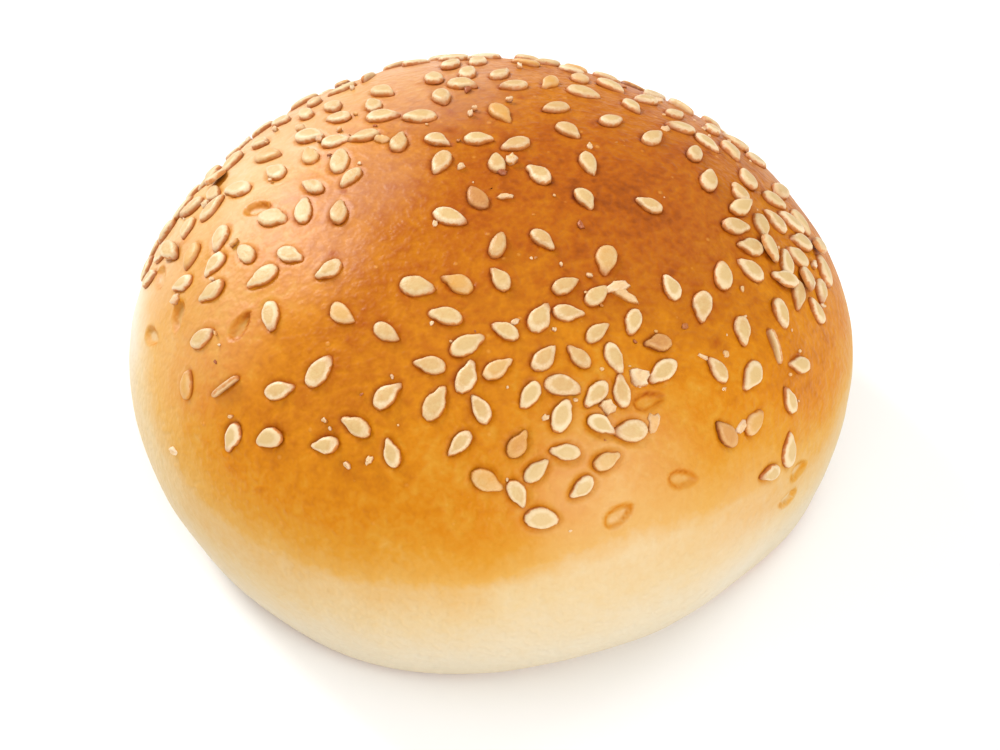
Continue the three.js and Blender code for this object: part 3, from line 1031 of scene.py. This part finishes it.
def broken_piece(name, parts, rings, material):
    """The broken bits of one kind as one piece, each with its own tone and some with egg."""
    points, faces = join(parts, closed_faces(CHIP_CORNERS, len(rings)))
    count = len(parts)
    each = len(parts[0])
    shares = np.append(np.repeat([share for share, _ in rings], CHIP_CORNERS), [0.0, 0.0])
    levels = np.append(np.repeat([level for _, level in rings], CHIP_CORNERS), [1.0, -1.0])
    piece = make_mesh(name, points, faces, face=np.tile(1 - shares, count),
                      foot=np.tile(smooth(0.2, -0.2, levels), count), tip=np.zeros(count * each),
                      egged=np.repeat(vary.uniform(-0.4, 0.6, count).clip(0), each),
                      rim=np.repeat(vary.uniform(0, 1, count), each),
                      own=np.repeat(vary.normal(0, 1.2, count), each))
    piece.data.materials.append(material)
    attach(piece, "root")


chips = []
for east, north, length, width, height, turned in LARGE_CHIPS:
    spot = clear_spot(east, north, 0.4 * (length + width) / 2)
    if spot:
        chips.append(broken_points(*spot, length, width, height, math.radians(turned),
                                   CHIP_RINGS, LARGE_RAGGED))
for place, axes, size in scatter_by_seeds(SMALL_CHIPS, SMALL_CHIP_SIZES):
    width = size * vary.uniform(0.5, 0.9)
    chips.append(broken_points(place, axes, size, width, 0.25 + 0.2 * size, vary.uniform(0, 6),
                               CHIP_RINGS, SMALL_RAGGED))
for place, axes, size in scatter_by_seeds(DUST, DUST_SIZES):
    width = size * vary.uniform(0.6, 1)
    chips.append(broken_points(place, axes, size, width, 0.5 * size, vary.uniform(0, 6),
                               CHIP_RINGS, DUST_RAGGED))
broken_seed = seed_material("broken_seed", rim_tone=tone(234, 210, 176),
                            face_tone=tone(228, 192, 142), tan_tone=tone(206, 138, 88),
                            side_and_shade_tone=tone(206, 138, 66), line_and_shade_tone=tone(146, 70, 14))
broken_piece("seed_chips", chips, CHIP_RINGS, broken_seed)


# The burnt crumbs: reddish brown bits of seed and dough that caught in the oven. They are stuck
# to the crust by the egg wash.
CRUMB_RINGS = [(0.9, -0.4), (1.05, 0.1), (0.95, 0.5), (0.7, 0.85), (0.4, 1.0)]
# East, north and size of the larger ones
LARGE_CRUMBS = [
    (9.8, -5, 1.0),
    (1.1, 2.6, 0.9),
    (-2.3, 18.7, 0.9),
    (11.9, -14.8, 0.4),
    (25, -22, 0.7),
    (21.6, -15.6, 0.7),
    (-18, 8, 0.4),
]
SMALL_CRUMBS, SMALL_CRUMB_SIZES = 14, (0.3, 0.7)
CRUMB_RAGGED = 0.25

crumbs = []
for east, north, size in LARGE_CRUMBS:
    spot = clear_spot(east, north, 0.3 * size)
    if spot:
        crumbs.append(broken_points(*spot, 1.2 * size, 0.8 * size, 0.4 * size,
                                    vary.uniform(0, 6), CRUMB_RINGS, CRUMB_RAGGED))
for place, axes, size in scatter_by_seeds(SMALL_CRUMBS, SMALL_CRUMB_SIZES):
    crumbs.append(broken_points(place, axes, size, 0.6 * size, 0.35 * size,
                                vary.uniform(0, 6), CRUMB_RINGS, CRUMB_RAGGED))
burnt_crumb = seed_material("burnt_crumb", rim_tone=tone(186, 106, 56),
                            face_tone=tone(166, 86, 36), tan_tone=tone(118, 54, 20),
                            side_and_shade_tone=tone(140, 66, 18), line_and_shade_tone=tone(98, 40, 6))
broken_piece("burnt_crumbs", crumbs, CRUMB_RINGS, burnt_crumb)


# The floor is a plain pale table. The light is soft: a window behind on the left, a dimmer one
# behind on the right, wide fills from the front, above and the left, and an even white surround.
# Sizes are in metres from here on.
ROLL_MIDDLE = Vector((0, 0, 0.018))
SURROUND = 0.575
TABLE_REACH = 2
TABLE_GREY = 0.93


def softbox(name, azimuth, elevation, distance, width, height, power):
    """A soft light aimed at the roll. Azimuth 0 is behind the roll and -90 on its left."""
    light = bpy.data.lights.new(name, "AREA")
    light.shape = "RECTANGLE"
    light.size = width
    light.size_y = height
    light.energy = power
    lamp = bpy.data.objects.new(name, light)
    bpy.context.scene.collection.objects.link(lamp)
    a, e = math.radians(azimuth), math.radians(elevation)
    towards = Vector((math.sin(a) * math.cos(e), math.cos(a) * math.cos(e), math.sin(e)))
    lamp.location = ROLL_MIDDLE + towards * distance
    lamp.rotation_euler = towards.to_track_quat("Z", "Y").to_euler()


softbox("window", -44, 30, 0.9, 0.24, 0.28, 5.7)
softbox("far_window", 50, 42, 1.1, 0.5, 0.5, 1.6)
softbox("front_fill", 150, 34, 1.2, 0.9, 0.6, 7.8)
softbox("overhead", 180, 80, 1.2, 1.0, 1.0, 2.8)
softbox("left_fill", -100, 35, 1.1, 0.6, 0.6, 0.9)

world = bpy.data.worlds.new("studio")
world.use_nodes = True
bpy.context.scene.world = world
backdrop = world.node_tree.nodes["Background"]
backdrop.inputs["Color"].default_value = (1, 1, 1, 1)
backdrop.inputs["Strength"].default_value = SURROUND
bpy.context.scene.view_settings.view_transform = "Standard"

table_corners = [(-TABLE_REACH, -TABLE_REACH, 0), (TABLE_REACH, -TABLE_REACH, 0),
                 (TABLE_REACH, TABLE_REACH, 0), (-TABLE_REACH, TABLE_REACH, 0)]
table_mesh = bpy.data.meshes.new("table")
table_mesh.from_pydata(table_corners, [], [(0, 1, 2, 3)])
floor = bpy.data.objects.new("table", table_mesh)
bpy.context.scene.collection.objects.link(floor)
table_material, tree = new_material("pale_table")
surface = shade(tree, "ShaderNodeBsdfPrincipled", {
    "Base Color": (TABLE_GREY, TABLE_GREY, TABLE_GREY, 1), "Roughness": 0.9,
    "Specular IOR Level": 0.1})
shade(tree, "ShaderNodeOutputMaterial", {"Surface": surface.outputs[0]})
floor.data.materials.append(table_material)


# The camera looks down on the roll from the front through a long lens, a little more from above
# than from the side.
CAMERA_LENS = 122.79
CAMERA_PLACE = (0.00112, -0.26194, 0.30240)
CAMERA_TURN = 42  # degrees from straight down
camera_data = bpy.data.cameras.new("camera")
camera_data.lens = CAMERA_LENS
camera_data.sensor_width = 36
camera = bpy.data.objects.new("camera", camera_data)
camera.location = CAMERA_PLACE
camera.rotation_euler = (math.radians(CAMERA_TURN), 0, 0)
bpy.context.scene.collection.objects.link(camera)
bpy.context.scene.camera = camera
